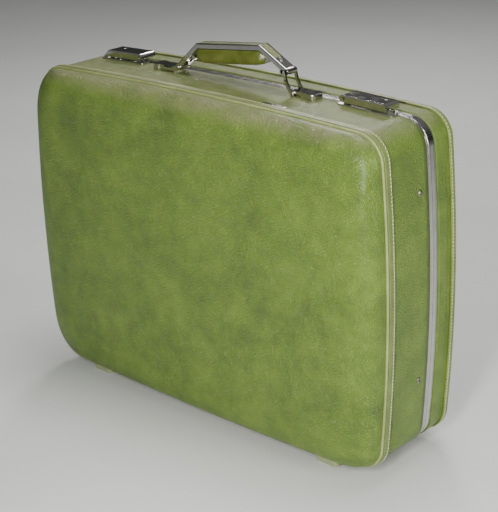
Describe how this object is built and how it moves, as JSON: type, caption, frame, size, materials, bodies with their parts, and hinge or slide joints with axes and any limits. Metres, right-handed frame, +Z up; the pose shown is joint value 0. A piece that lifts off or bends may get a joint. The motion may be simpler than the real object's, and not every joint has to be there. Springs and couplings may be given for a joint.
{
  "type": "hard shell suitcase",
  "caption": "Hard shell clamshell suitcase in grained vinyl with aluminium rims, flip latches and a swing-link carrying handle.",
  "frame": {"origin": "bottom centre of the case, on the floor under its middle", "axes": "+Z up, +X along the width towards the right latch, -Y towards the front (tray) face, +Y towards the lid"},
  "size_m": [0.565, 0.183, 0.4679],
  "materials": {
    "vinyl_shell": "grained vinyl covering, olive green, satin",
    "vinyl_welt": "folded and stitched vinyl welt, olive green",
    "piping": "thin light olive vinyl piping",
    "binding": "dark olive edge binding",
    "rim_aluminium": "bright rolled aluminium",
    "chrome": "polished chrome plate",
    "steel": "zinc-plated steel",
    "rivet_dark": "eyelet rivet, olive lacquer",
    "foot_plastic": "dark green moulded plastic",
    "grip_vinyl": "glossy olive vinyl grip",
    "inlay": "olive vinyl inlay",
    "lining": "quilted old-gold lining cloth",
    "webbing": "ribbed old-gold ribbon",
    "buckle_plastic": "moulded buckle",
    "nameplate": "blank plate"
  },
  "bodies": {
    "root": {"front_shell": "vinyl_shell", "front_lining": "lining", "front_welt": "vinyl_welt", "front_piping": "piping", "front_binding": "binding", "front_frame": "rim_aluminium", "front_feet": "foot_plastic", "front_foot_screws": "steel", "hinge_leaf_front": "steel", "hinge_pins": "steel", "hinge_rivets_front": "steel", "strap_rivets": "rivet_dark", "packing_strap_lower": "webbing", "packing_strap_upper": "webbing", "strap_buckles": "buckle_plastic", "nameplate": "nameplate", "handle_bracket_right": "chrome", "handle_bracket_left": "chrome", "handle_backing_plates": "steel", "handle_rivets": "steel", "handle_link_right": "chrome", "latch_base_left": "steel", "latch_base_right": "steel", "latch_pin_left": "chrome", "latch_pin_right": "chrome", "latch_rivets": "steel"},
    "lid": {"lid_shell": "vinyl_shell", "lid_lining": "lining", "lid_welt": "vinyl_welt", "lid_frame": "rim_aluminium", "lid_pocket": "lining", "lid_feet": "foot_plastic", "lid_foot_screws": "steel", "hinge_leaf_lid": "steel", "hinge_rivets_lid": "steel", "latch_striker_left": "steel", "latch_striker_right": "steel"},
    "link_left": {"handle_link_left": "chrome"},
    "grip": {"grip_frame": "chrome", "grip_pad": "grip_vinyl", "grip_inlay": "inlay", "grip_end_caps": "chrome", "grip_rivets": "chrome", "handle_bush": "steel"},
    "latch_lever_right": {"latch_lever_right": "chrome"},
    "lock_plug_right": {"lock_plug_right": "chrome"},
    "latch_slide_right": {"latch_slide_right": "chrome"},
    "latch_lever_left": {"latch_lever_left": "chrome"},
    "lock_plug_left": {"lock_plug_left": "chrome"},
    "latch_slide_left": {"latch_slide_left": "chrome"}
  },
  "joints": [
    {"name": "lid_hinge", "type": "hinge", "parent": "root", "child": "lid", "pos_m": [0, 0.0245, 0.0046], "axis": [-1, 0, 0], "range_deg": [0, 105]},
    {"name": "handle_raise", "type": "hinge", "parent": "root", "child": "link_left", "pos_m": [-0.10477, 0.0075, 0.43043], "axis": [0, -1, 0], "range_deg": [0, 57.51]},
    {"name": "grip_level", "type": "hinge", "parent": "link_left", "child": "grip", "pos_m": [-0.086, 0.0075, 0.4225], "axis": [0, -1, 0], "range_deg": [-63.9, 0]},
    {"name": "latch_lever_right_lift", "type": "hinge", "parent": "root", "child": "latch_lever_right", "pos_m": [0.16573, 0.02, 0.42032], "axis": [0, -1, 0], "range_deg": [0, 60]},
    {"name": "lock_right_turn", "type": "hinge", "parent": "latch_lever_right", "child": "lock_plug_right", "pos_m": [0.21138, 0.0262, 0.42422], "axis": [0.0329, 0, 0.9995], "range_deg": [0, 90]},
    {"name": "latch_slide_right_push", "type": "slide", "parent": "root", "child": "latch_slide_right", "axis": [0.9995, 0, -0.0329], "range_m": [0, 0.003], "stiffness_N_per_m": 400, "springref_m": -0.001},
    {"name": "latch_lever_left_lift", "type": "hinge", "parent": "root", "child": "latch_lever_left", "pos_m": [-0.16573, 0.02, 0.42032], "axis": [0, 1, 0], "range_deg": [0, 60]},
    {"name": "lock_left_turn", "type": "hinge", "parent": "latch_lever_left", "child": "lock_plug_left", "pos_m": [-0.21138, 0.0262, 0.42422], "axis": [-0.0329, 0, 0.9995], "range_deg": [0, 90]},
    {"name": "latch_slide_left_push", "type": "slide", "parent": "root", "child": "latch_slide_left", "axis": [-0.9995, 0, -0.0329], "range_m": [0, 0.003], "stiffness_N_per_m": 400, "springref_m": -0.001}
  ],
  "couplings": [
    {"joint": "grip_level", "follows": "handle_raise", "ratio": -1.1112}
  ]
}
